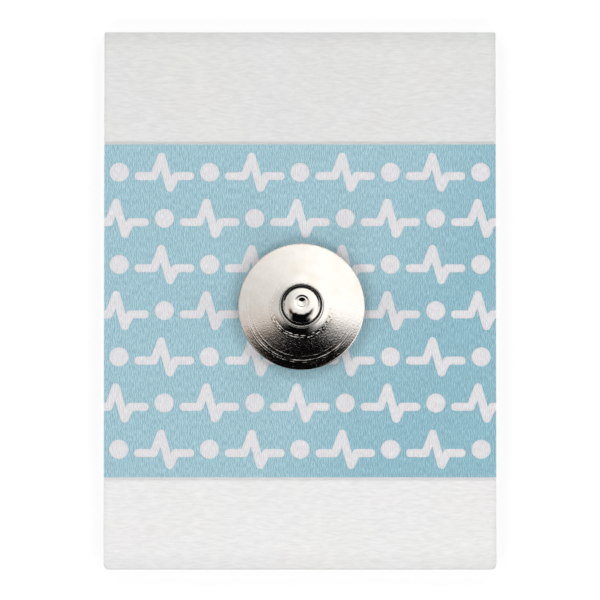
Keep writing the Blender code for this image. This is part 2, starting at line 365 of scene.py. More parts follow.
# %% Slab mesh
def slab_mesh(name, low, high, wall, radius_at):
    """A closed slab that fills a box. Its wall is (inset, z) points, from top edge to bottom edge."""
    size, middle = high - low, (low + high) / 2
    xs, ys = grid_places(size.x), grid_places(size.y)
    columns, rows = len(xs), len(ys)

    def place(i, j, inset, z):
        half_x, half_y = size.x / 2 - inset, size.y / 2 - inset
        x, y = xs[i] * half_x / (size.x / 2), ys[j] * half_y / (size.y / 2)
        x, y = round_corner(x, y, half_x, half_y, radius_at(y))
        return middle.x + x, middle.y + y, z

    everywhere = [(i, j) for i in range(columns) for j in range(rows)]
    rim = [(i, 0) for i in range(columns - 1)] + [(columns - 1, j) for j in range(rows - 1)]
    rim += [(i, rows - 1) for i in range(columns - 1, 0, -1)] + [(0, j) for j in range(rows - 1, 0, -1)]
    points = [place(i, j, wall[0][0], high.z) for i, j in everywhere]
    loops = [[i * rows + j for i, j in rim]]
    for inset, z in wall[1:-1]:
        loops.append(list(range(len(points), len(points) + len(rim))))
        points += [place(i, j, inset, z) for i, j in rim]
    base = len(points)
    points += [place(i, j, wall[-1][0], low.z) for i, j in everywhere]
    loops.append([base + i * rows + j for i, j in rim])

    faces = []
    for i in range(columns - 1):
        for j in range(rows - 1):
            corner = i * rows + j
            faces.append((corner, corner + rows, corner + rows + 1, corner + 1))
            below = base + corner
            faces.append((below, below + 1, below + rows + 1, below + rows))
    for upper, lower in zip(loops, loops[1:]):
        for k in range(len(rim)):
            following = (k + 1) % len(rim)
            faces.append((upper[k], lower[k], lower[following], upper[following]))
    mesh = bpy.data.meshes.new(name)
    mesh.from_pydata(points, [], faces)
    mesh.update()
    return mesh


print("pad, mm thick:", round((pad_high.z - pad_low.z) / MM, 2))

# %% Holes and pieces
PUNCH_LENGTH = 10 * MM


def cut_hole(mesh, name, radius, facets):
    """A new mesh: the slab with a round hole through it on the stud's axis."""
    shape = bmesh.new()
    sizes = {"radius1": radius, "radius2": radius, "depth": PUNCH_LENGTH}
    bmesh.ops.create_cone(shape, cap_ends=True, segments=facets, **sizes)
    bmesh.ops.translate(shape, verts=shape.verts, vec=STUD_AXIS)
    punch_mesh = bpy.data.meshes.new("punch")
    shape.to_mesh(punch_mesh)
    shape.free()
    punch, blank = in_scene("punch", punch_mesh), in_scene("blank", mesh)
    step = blank.modifiers.new("hole", "BOOLEAN")
    step.operation = "DIFFERENCE"
    step.object = punch
    view = bpy.context.evaluated_depsgraph_get()
    result = bpy.data.meshes.new_from_object(blank.evaluated_get(view))
    result.name = name
    for thing in (punch, blank):
        bpy.data.objects.remove(thing)
    return result


def add_piece(name, mesh, node, material):
    """Puts a finished mesh in the scene as the piece that stands for a CAD node."""
    mesh.materials.clear()
    mesh.materials.append(material)
    piece = in_scene(name, mesh)
    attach(piece, "root")
    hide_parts(node)
    print(name, "faces:", len(mesh.polygons))
    return piece

# %% [markdown]
# ### Foam finish
#
# Closed-cell polyethylene foam is skived from a block: the blade opens its bubbles and draws their walls
# into faint wavy lines across the sheet. The eye gets a bright, dry white with no highlight, lines about
# a millimetre long and 0.2 mm apart, and a pore here and there.

# %% Foam pattern
LINE_SPACING, LINE_LENGTH = 0.20 * MM, 1.1 * MM
LINE_BEND, BEND_LENGTH = 0.6 * MM, 2.4 * MM
CELL_SIZE = 0.16 * MM
CLOUD_SIZE = 7 * MM

foam, tree = empty_material("skived_polyethylene_foam")
place = add(tree, "TexCoord").outputs["Object"]
bend = add(tree, "TexNoise", {"Vector": place, "Scale": 1 / BEND_LENGTH, "Detail": 2.0})
bend = add(tree, "VectorMath", {0: bend.outputs["Color"], 1: (0.5, 0.5, 0.5)}, MINUS)
bend = add(tree, "VectorMath", {0: bend, "Scale": LINE_BEND}, {"operation": "SCALE"})
bent = add(tree, "VectorMath", {0: place, 1: bend}, PLUS)
drawn_out = (1 / LINE_LENGTH, 1 / LINE_SPACING, 1 / LINE_SPACING)
stretched = add(tree, "Mapping", {"Vector": bent, "Scale": drawn_out})
lines = add(tree, "TexNoise", {"Vector": stretched, "Scale": 1.0, "Detail": 3.0, "Roughness": 0.6})
cells = add(tree, "TexVoronoi", {"Vector": place, "Scale": 1 / CELL_SIZE}, {"feature": "F1"})
clouds = add(tree, "TexNoise", {"Vector": place, "Scale": 1 / CLOUD_SIZE, "Detail": 2.0})
line_tone = add(tree, "MapRange", {"Value": lines, "From Min": 0.3, "From Max": 0.7})
base = add(tree, "Mix", {"Factor": line_tone, "A": "#E6E6E5", "B": "#F2F2F1"}, COLOURS)
cloudy = add(tree, "Mix", {"Factor": 0.05, "A": base, "B": clouds.outputs["Color"]}, COLOURS_TIMES)
print("foam lines along the pad:", round((pad_high.y - pad_low.y) / LINE_SPACING))

# %% Foam painted light and shade
# Painted light: the foam is painted a little whiter towards the front end, where the light is stronger.
# Painted shade: a grey band along the cut, wider at the ends, stands for the shade of the rounded edges.
# Each row is a coordinate, where its change starts and ends, and the tone at either place.
PAINTED_LIGHT_SPAN, PAINTED_SIDE_SHADE, PAINTED_END_SHADE = 20 * MM, 0.5 * MM, 1.6 * MM

from_side, along = add(tree, "SeparateXYZ", {0: place}).outputs[:2]
from_side = add(tree, "Math", {0: from_side}, {"operation": "ABSOLUTE"})
tones = (
    (along, -PAINTED_LIGHT_SPAN, PAINTED_LIGHT_SPAN, 1.05, 0.95),
    (from_side, pad_high.x - PAINTED_SIDE_SHADE, pad_high.x, 1.0, 0.95),
    (along, pad_high.y - PAINTED_END_SHADE, pad_high.y, 1.0, 0.90),
    (along, pad_low.y, pad_low.y + PAINTED_END_SHADE, 0.93, 1.0),
)
# Painted light along the pad, times painted shade at its sides and ends.
painted_light_and_shade = 1.0
for value, start, end, first, last in tones:
    change = {"Value": value, "From Min": start, "From Max": end, "To Min": first, "To Max": last}
    tone = add(tree, "MapRange", change)
    painted_light_and_shade = add(tree, "Math", {0: painted_light_and_shade, 1: tone}, TIMES)
colour = add(tree, "VectorMath", {0: cloudy, "Scale": painted_light_and_shade}, {"operation": "SCALE"})
print("tones multiplied:", len(tones))

# %% Foam surface
CELL_DEPTH, LINE_DEPTH = 0.03 * MM, 0.05 * MM

bump = add(tree, "Bump", {"Height": cells, "Strength": 0.35, "Distance": CELL_DEPTH})
bump = add(tree, "Bump", {"Height": lines, "Strength": 0.8, "Distance": LINE_DEPTH, "Normal": bump})
# The skin side carries the adhesive coat, which is smoother than bare foam.
facing = add(tree, "SeparateXYZ", {0: add(tree, "NewGeometry").outputs["True Normal"]}).outputs["Z"]
dryness = add(tree, "MapRange", {
    "Value": facing, "From Min": -0.9, "From Max": -0.5, "To Min": 0.38, "To Max": 0.88,
})
surface = add(tree, "BsdfPrincipled", {
    "Base Color": colour, "Roughness": dryness, "IOR": 1.5, "Normal": bump,
})
add(tree, "OutputMaterial", {"Surface": surface})
print(foam.name, "nodes:", len(tree.nodes))

# %% Foam pad
SHARP_CORNER = 0.15 * MM
ROUND_CORNER = 0.45 * MM
EDGE_EASE = 0.10 * MM  # how far the die's cut rounds the foam's edges
WALL_HOLLOW = 0.03 * MM  # cut foam springs back least in the middle of its wall
WELL_RADIUS, WELL_FACETS = 8.1 * MM, 128
FOAM_CREASE = math.radians(50)


def foam_wall():
    """(inset, z) down the cut wall: a soft top edge, a slight hollow, a soft bottom edge."""
    top, bottom = pad_high.z, pad_low.z
    turns = [math.radians(angle) for angle in (0, 22, 45, 67, 90)]
    wall = [(EDGE_EASE * (1 - math.sin(t)), top - EDGE_EASE * (1 - math.cos(t))) for t in turns]
    for share in (0.2, 0.4, 0.6, 0.8):
        hollow = WALL_HOLLOW * math.sin(math.pi * share)
        wall.append((hollow, top - EDGE_EASE - share * (top - bottom - 1.5 * EDGE_EASE)))
    low = EDGE_EASE / 2
    wall += [(low * (1 - math.cos(t)), bottom + low * (1 - math.sin(t))) for t in turns]
    return wall


def foam_corner(y):
    """The radius of a corner: rounder at the near end, as the die cut it."""
    return ROUND_CORNER if y < 0 else SHARP_CORNER


foam_mesh = slab_mesh("foam_blank", pad_low, pad_high, foam_wall(), foam_corner)
lift_layer(foam_mesh)
foam_mesh = cut_hole(foam_mesh, "foam_pad", WELL_RADIUS, WELL_FACETS)
foam_mesh.shade_smooth()
foam_mesh.set_sharp_from_angle(angle=FOAM_CREASE)
pad = add_piece("die_cut_foam_pad", foam_mesh, "foam_pad", foam)

# %% [markdown]
# ## Geometry Nodes, run and then made plain
#
# The stud, the eyelet and the gel disc are all turned shapes, and the print repeats one motif. Geometry
# Nodes make both: a tree holds the rule, and its inputs hold the sizes. The result is kept as a plain
# mesh without the modifier, because other programs read plain meshes.

# %% Node tree tools
JOINED = 1e-8  # points closer than this, in metres, are one point


def new_tree(name, sockets):
    """A Geometry Nodes tree with these named inputs, and the sockets to link from."""
    tree = bpy.data.node_groups.new(name, "GeometryNodeTree")
    tree.interface.new_socket("Geometry", in_out="INPUT", socket_type="NodeSocketGeometry")
    for socket, kind in sockets.items():
        tree.interface.new_socket(socket, in_out="INPUT", socket_type="NodeSocket" + kind)
    tree.interface.new_socket("Geometry", in_out="OUTPUT", socket_type="NodeSocketGeometry")
    return tree, tree.nodes.new("NodeGroupInput").outputs


def run_tree(mesh, tree, values):
    """Runs a tree on a mesh, with its inputs set by identifier, and returns the result as a plain mesh."""
    source = in_scene("source", mesh)
    step = source.modifiers.new("nodes", "NODES")
    step.node_group = tree
    for item in tree.interface.items_tree:
        if item.in_out == "INPUT" and item.name in values:
            step[item.identifier] = values[item.name]
    view = bpy.context.evaluated_depsgraph_get()
    result = bpy.data.meshes.new_from_object(source.evaluated_get(view))
    source.modifiers.remove(step)
    bpy.data.objects.remove(source)
    return result


def outward(mesh):
    """Joins doubled points and turns every face outwards."""
    shape = bmesh.new()
    shape.from_mesh(mesh)
    bmesh.ops.remove_doubles(shape, verts=shape.verts, dist=JOINED)
    bmesh.ops.recalc_face_normals(shape, faces=shape.faces)
    open_edges = sum(not edge.is_manifold for edge in shape.edges)
    shape.to_mesh(mesh)
    shape.free()
    print(mesh.name, "open edges:", open_edges)
    return mesh

# %% [markdown]
# ## A lathe in nodes
#
# A turned piece is half of its outline, spun about an axis. The tree takes that outline as a chain of
# points (radius, 0, height). It makes a grid with one row for each point and one column for each step
# round the axis, looks up each grid point's place in the chain, and turns it by its column's angle.

# %% Lathe tree
lathe, given = new_tree("lathe", {"Steps": "Int", "Axis": "Vector", "Finish": "Material"})
chain = add(lathe, "AttributeDomainSize", {"Geometry": given["Geometry"]}).outputs["Point Count"]
columns = add(lathe, "Math", {0: given["Steps"], 1: 1.0}, PLUS)
blank = add(lathe, "MeshGrid", {"Vertices X": columns, "Vertices Y": chain})
index = add(lathe, "InputIndex")
row = add(lathe, "Math", {0: index, 1: chain}, {"operation": "MODULO"})
share = add(lathe, "Math", {0: index, 1: chain}, {"operation": "DIVIDE"})
column = add(lathe, "Math", {0: share}, {"operation": "FLOOR"})
turn = add(lathe, "Math", {0: column, 1: given["Steps"]}, {"operation": "DIVIDE"})
angle = add(lathe, "Math", {0: turn, 1: math.tau}, TIMES)
looked_up = add(lathe, "SampleIndex", {
    "Geometry": given["Geometry"], "Value": add(lathe, "InputPosition"), "Index": row,
}, {"data_type": "FLOAT_VECTOR", "domain": "POINT"})
spot = add(lathe, "VectorRotate", {"Vector": looked_up, "Angle": angle}, {"rotation_type": "Z_AXIS"})
spot = add(lathe, "VectorMath", {0: spot, 1: given["Axis"]}, PLUS)
spun = add(lathe, "SetPosition", {"Geometry": blank, "Position": spot})
closed = add(lathe, "MergeByDistance", {"Geometry": spun, "Distance": 1e-7})
real = add(lathe, "RealizeInstances", {"Geometry": closed})
coated = add(lathe, "SetMaterial", {"Geometry": real, "Material": given["Finish"]})
add(lathe, "NodeGroupOutput", {"Geometry": coated})
print("nodes in the lathe:", len(lathe.nodes))

# %% Outlines to spin
def turned_mesh(name, outline, steps, finish):
    """Spins an outline of (radius, z) points about the stud's axis."""
    chain_mesh = bpy.data.meshes.new(name + "_outline")
    links = [(k, k + 1) for k in range(len(outline) - 1)]
    chain_mesh.from_pydata([(radius, 0.0, z) for radius, z in outline], links, [])
    mesh = run_tree(chain_mesh, lathe, {"Steps": steps, "Axis": STUD_AXIS[:], "Finish": finish})
    mesh.name = name
    mesh = outward(mesh)
    mesh.shade_smooth()
    return mesh


def arc(centre, radius, start_deg, end_deg, facets, tall=None):
    """Points along part of a circle, both ends included, or of an ellipse that is this tall."""
    points = []
    for step in range(facets + 1):
        turned = math.radians(start_deg + (end_deg - start_deg) * step / facets)
        side, rise = radius * math.cos(turned), (tall or radius) * math.sin(turned)
        points.append((centre[0] + side, centre[1] + rise))
    return points


def soft_steps(knots, facets):
    """A smooth curve through (radius, z) knots, level at each of them."""
    points = [knots[0]]
    for (r0, z0), (r1, z1) in zip(knots, knots[1:]):
        for step in range(1, facets + 1):
            along = step / facets
            points.append((r0 + (r1 - r0) * along, z0 + (z1 - z0) * smooth_step(along, 0.0, 1.0)))
    return points


def curve(start, bend, end, facets):
    """Points along a quadratic curve from start to end, without start."""
    points = []
    for step in range(1, facets + 1):
        t = step / facets
        weights = ((1 - t) ** 2, 2 * t * (1 - t), t * t)
        points.append(tuple(sum(w * p[k] for w, p in zip(weights, (start, bend, end))) for k in (0, 1)))
    return points


print("points along an arc of 6 facets:", len(arc((0, 0), 1, 0, 90, 6)))

# %% [markdown]
# ## Nickel
#
# The stud is drawn from brass sheet, barrel finished and plated with bright nickel. The plate is warm
# white and reflects like a mirror that has been rubbed with fine grit: edges of reflections are a little
# soft, turning lines run round the axis, and small dents from the barrel catch single sparks of light.
# On real plate the lines and dents are finer still. They are drawn as coarse as they need to be to show.

# %% Nickel pattern
TURNING_LINE, LINE_DEPTH = 0.10 * MM, 0.006 * MM
DENT_SIZE, DENT_DEPTH = 0.16 * MM, 0.007 * MM
PIT_SIZE, PIT_DROP = 0.11 * MM, 0.0022 * MM
STAIN_SIZE = 1.6 * MM

nickel, tree = empty_material("barrel_finished_nickel_plate")
place = add(tree, "TexCoord").outputs["Object"]
centred = add(tree, "Mapping", {"Vector": place, "Location": tuple(-STUD_AXIS)})
flat = add(tree, "VectorMath", {0: centred, 1: (1.0, 1.0, 0.0)}, TIMES)
radius = add(tree, "VectorMath", {0: flat}, {"operation": "LENGTH"})
rings = {"W": radius, "Scale": 1 / TURNING_LINE, "Detail": 2.0}
rings = add(tree, "TexNoise", rings, {"noise_dimensions": "1D"})
dents = add(tree, "TexNoise", {"Vector": place, "Scale": 1 / DENT_SIZE, "Detail": 4.0, "Roughness": 0.7})
pits = add(tree, "TexNoise", {"Vector": place, "Scale": 1 / PIT_SIZE, "Detail": 1.0})
pits = add(tree, "MapRange", {"Value": pits, "From Min": 0.60, "From Max": 0.80})
stains = add(tree, "TexNoise", {"Vector": place, "Scale": 1 / STAIN_SIZE, "Detail": 3.0})
stains = add(tree, "MapRange", {"Value": stains, "From Min": 0.35, "From Max": 0.7})
plate = add(tree, "Mix", {"Factor": stains, "A": "#E4E0DB", "B": "#DED8CF"}, COLOURS)
haze = {"Value": dents, "From Min": 0.3, "From Max": 0.8, "To Min": 0.04, "To Max": 0.09}
haze = add(tree, "MapRange", haze)
print("turning lines on the flange:", round(FLANGE_RADIUS / TURNING_LINE))

# %% Nickel surface
# The die burnishes the head, so it has hardly a dent.
HEAD_FOOT, BURNISHED = stud_high.z - 1.9 * MM, stud_high.z - 1.6 * MM

height = add(tree, "SeparateXYZ", {0: place}).outputs["Z"]
dented = add(tree, "MapRange", {
    "Value": height, "From Min": HEAD_FOOT, "From Max": BURNISHED, "To Min": 1.0, "To Max": 0.2,
})
bump = add(tree, "Bump", {"Height": pits, "Strength": dented, "Distance": PIT_DROP}, {"invert": True})
for height, strength, depth in ((dents, dented, DENT_DEPTH), (rings, 0.25, LINE_DEPTH)):
    bump = {"Height": height, "Strength": strength, "Distance": depth, "Normal": bump}
    bump = add(tree, "Bump", bump)
surface = add(tree, "BsdfPrincipled", {
    "Base Color": plate, "Metallic": 1.0, "Roughness": haze, "Normal": bump,
})
add(tree, "OutputMaterial", {"Surface": surface})
print(nickel.name, "nodes:", len(tree.nodes))

# %% [markdown]
# ## The snap stud
#
# From the top down: a crown with the small pit that the drawing punch leaves, a rounded head that the
# lead's spring clips over, a narrow neck, a short steep collar, and a shallow cone of a flange, whose rim
# turns down onto the label. The metal is 0.3 mm thick all the way, so the inside is drawn too. The CAD
# model has the same outline with far fewer points.

# %% Stud sizes
SEAT = stud_low.z
TOP = stud_high.z
SHEET = 0.30 * MM
CROWN, SHOULDER, HEAD, NECK = 0.74 * MM, 1.50 * MM, 1.95 * MM, 1.65 * MM
SHOULDER_END = 1.74 * MM
WIDEST, NECK_TOP = TOP - 0.90 * MM, TOP - 1.75 * MM
SHOULDER_TILT, END_TILT, SIDE_TILT = 22.6, 23.9, 66  # degrees from level
SHOULDER_CORNER, SHOULDER_STEPS = 0.015 * MM, 24
COLLAR, COLLAR_CORNER, FOOT = 2.06 * MM, 0.10 * MM, 2.75 * MM
FLANGE_RISE, RIM_HEIGHT, RIM_CORNER = 0.50 * MM, 0.55 * MM, 0.09 * MM
RIM_TOP = SEAT + RIM_HEIGHT
RIM_FOOT = 0.02 * MM
FOOT_Z = RIM_TOP + FLANGE_RISE
COLLAR_TOP = FOOT_Z + 0.70 * MM
FOOT_TILT, FOOT_FILLET, FOOT_EASE = 17, 0.06 * MM, 0.2 * MM
FLANGE_BULGE, FLANGE_POINTS = 0.015 * MM, 90
PIT_DEPTH, PIT_RADIUS, PIT_STEPS = 0.125 * MM, 0.42 * MM, 5
DISH = [(0.42, -0.038), (0.47, -0.044), (0.73, 0.0), (0.74, 0.0)]  # mm
print("stud, mm high:", round((TOP - SEAT) / MM, 2))

# %% Stud outline
def flange_z(radius):
    """The flange's top: a shallow cone, bulged a little."""
    along = (FLANGE_RADIUS - radius) / (FLANGE_RADIUS - FOOT)
    return RIM_TOP + FLANGE_RISE * along + FLANGE_BULGE * 4 * along * (1 - along)


def head_outline():
    """(radius, z) points from the crown's middle down to the foot of the neck."""
    tilt, end_tilt, side = (math.radians(angle) for angle in (SHOULDER_TILT, END_TILT, SIDE_TILT))
    dish = [(radius * MM, TOP + z * MM) for radius, z in DISH]
    pit_low, pit_rise = TOP - PIT_DEPTH, dish[0][1] - TOP + PIT_DEPTH
    points = [(PIT_RADIUS * k / PIT_STEPS, pit_low + pit_rise * k / PIT_STEPS) for k in range(PIT_STEPS)]
    points += soft_steps(dish, 8)[:-1]
    round_shoulder = (SHOULDER - CROWN) / math.sin(tilt)
    points += arc((CROWN, TOP - round_shoulder), round_shoulder, 90, 90 - SHOULDER_TILT, 12)
    width = (SHOULDER_END - SHOULDER) / SHOULDER_STEPS
    for step in range(SHOULDER_STEPS):
        slope = math.tan(tilt + (end_tilt - tilt) * (step + 0.5) / SHOULDER_STEPS)
        points.append((points[-1][0] + width, points[-1][1] - width * slope))
    corner = (
        points[-1][0] - SHOULDER_CORNER * math.sin(end_tilt),
        points[-1][1] - SHOULDER_CORNER * math.cos(end_tilt),
    )
    points += arc(corner, SHOULDER_CORNER, 90 - END_TILT, 90 - SIDE_TILT, 6)[1:]
    bend = (HEAD, points[-1][1] - (HEAD - points[-1][0]) * math.tan(side))
    points += curve(points[-1], bend, (HEAD, WIDEST), 16)
    return points + arc((NECK, WIDEST), HEAD - NECK, 0, -90, 14, WIDEST - NECK_TOP)[1:]


def flange_outline():
    """(radius, z) points from the collar down and out to the rim's seat."""
    points = arc((NECK + COLLAR_CORNER, COLLAR_TOP + COLLAR_CORNER), COLLAR_CORNER, 180, 270, 6)
    points += arc((COLLAR - COLLAR_CORNER, COLLAR_TOP - COLLAR_CORNER), COLLAR_CORNER, 90, 0, 6)
    foot_tilt = math.radians(FOOT_TILT)
    fillet_r = COLLAR + FOOT_FILLET
    cone_start = fillet_r - FOOT_FILLET * math.sin(foot_tilt)
    fillet_z = FOOT_Z + (FOOT - cone_start) * math.tan(foot_tilt) + FOOT_FILLET * math.cos(foot_tilt)
    points += arc((fillet_r, fillet_z), FOOT_FILLET, 180, 270 - FOOT_TILT, 6)
    past_foot = FOOT + FOOT_EASE
    points.append((FOOT - FOOT_EASE, FOOT_Z + FOOT_EASE * math.tan(foot_tilt)))
    points += curve(points[-1], (FOOT, FOOT_Z), (past_foot, flange_z(past_foot)), 8)
    rim_corner = FLANGE_RADIUS - RIM_CORNER
    cone = np.linspace(past_foot, rim_corner, FLANGE_POINTS)[1:-1]
    points += [(radius, flange_z(radius)) for radius in cone]
    points += arc((rim_corner, RIM_TOP - RIM_CORNER), RIM_CORNER, 90, 0, 10)
    return points + [(FLANGE_RADIUS, SEAT + RIM_FOOT), (FLANGE_RADIUS - RIM_FOOT, SEAT)]


def inner_outline():
    """(radius, z) points up the inside, from the rim to the middle of the head's ceiling."""
    inner_rim, inner_neck, inner_head = FLANGE_RADIUS - SHEET, NECK - SHEET, HEAD - SHEET
    height = COLLAR_TOP - FOOT_Z
    ceiling = TOP - 0.15 * MM - SHEET
    points = [(inner_rim, SEAT), (inner_rim, RIM_TOP - SHEET)]
    points += arc((FOOT, FOOT_Z - SHEET + height), FOOT - inner_neck, 270, 180, 8, height)
    points += [(inner_neck, NECK_TOP), (inner_head, WIDEST), (inner_head, WIDEST + 0.18 * MM)]
    return points + [(CROWN + 0.1 * MM, ceiling), (0.0, ceiling)]


outline = head_outline() + flange_outline() + inner_outline()
stud_mesh = turned_mesh("snap_stud", outline, 288, nickel)
print("outline points:", len(outline))

# %% [markdown]
# ### What a press leaves
#
# A spun shape is too perfect, and a mirror finish shows it. The real pit isn't quite in the middle of the
# crown, the head's shoulder is dented on the side where the tools leaned, the flange carries a slight
# wave, and thin broken rings show where the tools pressed. All of it is no higher than a few hundredths
# of a millimetre. It bends the reflections and nothing else.

# %% Marks of the tools
PIT_OFFSET = Vector((0.05 * MM, 0.20 * MM))
PIT_KEPT, PIT_FADED = 0.50 * MM, 1.1 * MM  # radii between which the pit's offset fades
HEAD_DENT, HEAD_DENT_LENGTH = 0.010 * MM, 0.36 * MM
FLANGE_WAVE, FLANGE_WAVE_LENGTH = 0.010 * MM, 2.6 * MM
WAVE_ENDS = (5.2 * MM, 5.5 * MM)
# radius and height in mm, breaks in a turn, wander in mm
RINGS = ((2.78, 0.026, 9, 0.13), (2.95, 0.016, 13, 0.10), (4.70, 0.005, 5, 0.03), (5.05, 0.008, 6, 0.04),
         (5.24, 0.006, 9, 0.03))
PRESSED_HARD = math.radians(245)  # the side where the tools leaned
RING_WIDTH = 0.16 * MM


def flat_noise(x, y, length):
    """Smooth noise over the plane, with features about as long as this."""
    return noise.noise(Vector((x, y, 0.0)) / length)


def ring_marks(x, y):
    """The height of the tools' broken rings at a point about the stud's axis."""
    radius, turned = math.hypot(x, y), math.atan2(y, x)
    total = 0.0
    lean = 0.3 + 0.5 * math.cos(turned - PRESSED_HARD)
    for ring, height, breaks, wander in RINGS:
        around = breaks * Vector((math.cos(turned), math.sin(turned), 0.0))
        strength = lean + 0.9 * noise.noise(around)
        middle = ring + wander * noise.noise(3.3 * around)
        from_ring = abs(radius - middle * MM)
        total += height * MM * max(0.0, strength) * (1 - smooth_step(from_ring, 0.0, RING_WIDTH / 2))
    return total


def head_marks(x, y):
    """The height of the dents on the head's shoulder at a point about the stud's axis."""
    radius = math.hypot(x, y)
    leaned = 0.5 + 0.5 * math.cos(math.atan2(y, x) - PRESSED_HARD)
    on_shoulder = smooth_step(radius, CROWN, PIT_FADED) * (1 - smooth_step(radius, SHOULDER, SHOULDER_END))
    return HEAD_DENT * leaned ** 2 * on_shoulder * flat_noise(x, y, HEAD_DENT_LENGTH)


print("rings pressed in the flange:", len(RINGS))

# %% The stud, marked
HEAD_MARKS_END = TOP - 0.35 * MM
FLANGE_MARKS_END = SEAT + 0.3 * MM  # the rim's foot, and the inside of the rim, lie below this

for vertex in stud_mesh.vertices:
    x, y = vertex.co.x - STUD_AXIS.x, vertex.co.y - STUD_AXIS.y
    radius = math.hypot(x, y)
    if vertex.co.z > HEAD_MARKS_END and radius < HEAD:
        vertex.co.z += head_marks(x, y)
        vertex.co.xy += PIT_OFFSET * (1 - smooth_step(radius, PIT_KEPT, PIT_FADED))
    elif radius > FOOT - 0.1 * MM and vertex.co.z > FLANGE_MARKS_END:
        fade = smooth_step(radius, FOOT, FOOT + 0.6 * MM) * (1 - smooth_step(radius, *WAVE_ENDS))
        vertex.co.z += FLANGE_WAVE * fade * flat_noise(x, y, FLANGE_WAVE_LENGTH)
        vertex.co.z += ring_marks(x, y)

add_piece("drawn_snap_stud", stud_mesh, "snap_stud", nickel)

# %% [markdown]
# ## The label
#
# The label is white polypropylene film with pale blue ink on it, rolled out across the foam and cut at
# the pad's sides. The marks are places with no ink, where the white film shows, so the ink is a layer of
# its own with openings, as it is on the real label. Both follow the foam's rise and fall.
#
# A calender roller leaves the film with a fine cloth-like grain: upright lines 0.2 mm apart, crossed by
# weaker level ones. Film and ink share that grain. The ink is a thin even coat, a little darker towards
# one side.

# %% Label materials
GRAIN, GRAIN_DEPTH = 0.10 * MM, 0.085 * MM  # of the noise, whose lines lie about twice as far apart
UPRIGHT, LEVEL = (1 / GRAIN, 0.2 / GRAIN, 1.0), (0.4 / GRAIN, 1 / GRAIN, 1.0)  # short lines, both ways
RIB_SPACING, RIB_BREAKS = 0.20 * MM, (1.0, 2.2, 1.0)
BEND_LENGTH, LINE_BEND = 1.1 * MM, 0.2 * MM
TINT_BEGINS, TINT_FULL = 2 * MM, 16 * MM


def label_material(name, dark, light, gloss, tint):
    """Film or ink, with the roller's grain in its height and a trace of it in its colour."""
    made, tree = empty_material(name)
    place = add(tree, "TexCoord").outputs["Object"]
    wander = add(tree, "TexNoise", {"Vector": place, "Scale": 1 / BEND_LENGTH, "Detail": 1.0})
    wander = add(tree, "VectorMath", {0: wander.outputs["Color"], 1: LINE_BEND}, {"operation": "SCALE"})
    bent = add(tree, "VectorMath", {0: place, 1: wander}, PLUS)
    warp = add(tree, "Mapping", {"Vector": bent, "Scale": UPRIGHT})
    warp = add(tree, "TexNoise", {"Vector": warp, "Scale": 1.0, "Detail": 2.0})
    weft = add(tree, "Mapping", {"Vector": bent, "Scale": LEVEL})
    weft = add(tree, "TexNoise", {"Vector": weft, "Scale": 1.0, "Detail": 2.0})
    shorter = add(tree, "Mapping", {"Vector": place, "Scale": RIB_BREAKS})
    # A wave texture repeats every pi / 10 at a scale of 1.
    ribs = add(tree, "TexWave", {
        "Vector": shorter, "Scale": math.pi / 10 / RIB_SPACING, "Distortion": 6.0, "Detail": 1.0,
    }, {"bands_direction": "X"})
    grain = add(tree, "Math", {0: weft, 1: 0.3, 2: warp}, TIMES_PLUS)
    grain = add(tree, "Math", {0: grain, 1: 0.62, 2: 0.19}, TIMES_PLUS)
    grain = add(tree, "Math", {0: ribs.outputs["Fac"], 1: 0.16, 2: grain}, TIMES_PLUS)
    tone = add(tree, "MapRange", {"Value": grain, "From Min": 0.56, "From Max": 0.82})
    colour = add(tree, "Mix", {"Factor": tone, "A": dark, "B": light}, COLOURS)
    sides = add(tree, "SeparateXYZ", {0: place}).outputs
    slant = add(tree, "Math", {0: sides["Y"], 1: -0.5, 2: sides["X"]}, TIMES_PLUS)
    share = add(tree, "MapRange", {"Value": slant, "From Min": TINT_BEGINS, "From Max": TINT_FULL}, SMOOTH)
    tinted = add(tree, "Mix", {"Factor": share, "A": colour, "B": tint}, COLOURS_TIMES)
    bump = add(tree, "Bump", {"Height": grain, "Strength": 0.9, "Distance": GRAIN_DEPTH})
    surface = add(tree, "BsdfPrincipled", {
        "Base Color": tinted, "Roughness": gloss, "IOR": 1.49, "Normal": bump,
    })
    add(tree, "OutputMaterial", {"Surface": surface})
    print(name, "nodes:", len(tree.nodes))
    return made


film = label_material("calendered_polypropylene_film", "#DCDADD", "#F2F0F3", 0.55, "#FFFFFF")
ink = label_material("flexo_printed_pale_blue_ink", "#8DB6C4", "#BADBE4", 0.50, "#E7F3F6")

# %% Film
POST_HOLE, POST_HOLE_FACETS = 1.3 * MM, 64
KNIFE_CORNER = 0.02 * MM


def label_layer(node):
    """The blank of one layer of the label, in its CAD node's box and with the knife's straight cut."""
    low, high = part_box(node)
    return slab_mesh(node + "_blank", low, high, [(0.0, high.z), (0.0, low.z)], lambda y: KNIFE_CORNER)


film_mesh = label_layer("label_stock")
lift_layer(film_mesh)
film_mesh = cut_hole(film_mesh, "label_film", POST_HOLE, POST_HOLE_FACETS)
add_piece("white_label_film", film_mesh, "label_stock", film)

# %% [markdown]
# ### One motif, printed over and over
#
# The print is a plain pattern of heartbeat traces and dots, in rows that each start half a step on. Only
# one trace and one dot are drawn, as a closed prism: the outline of a round pen that follows the trace.
# The tree sets a copy on each point of a grid, shifts every second row, and cuts them all out of the ink.

# %% Outline of a pen stroke
PITCH = (8.4 * MM, 4.3 * MM)
TRACE_LENGTH, TRACE_RISE, TRACE_DIP = 4.8 * MM, 1.8 * MM, 1.1 * MM
STROKE = 0.78 * MM
DOT, DOT_FACETS = 0.90 * MM, 48  # radius
CAP_FACETS = 16


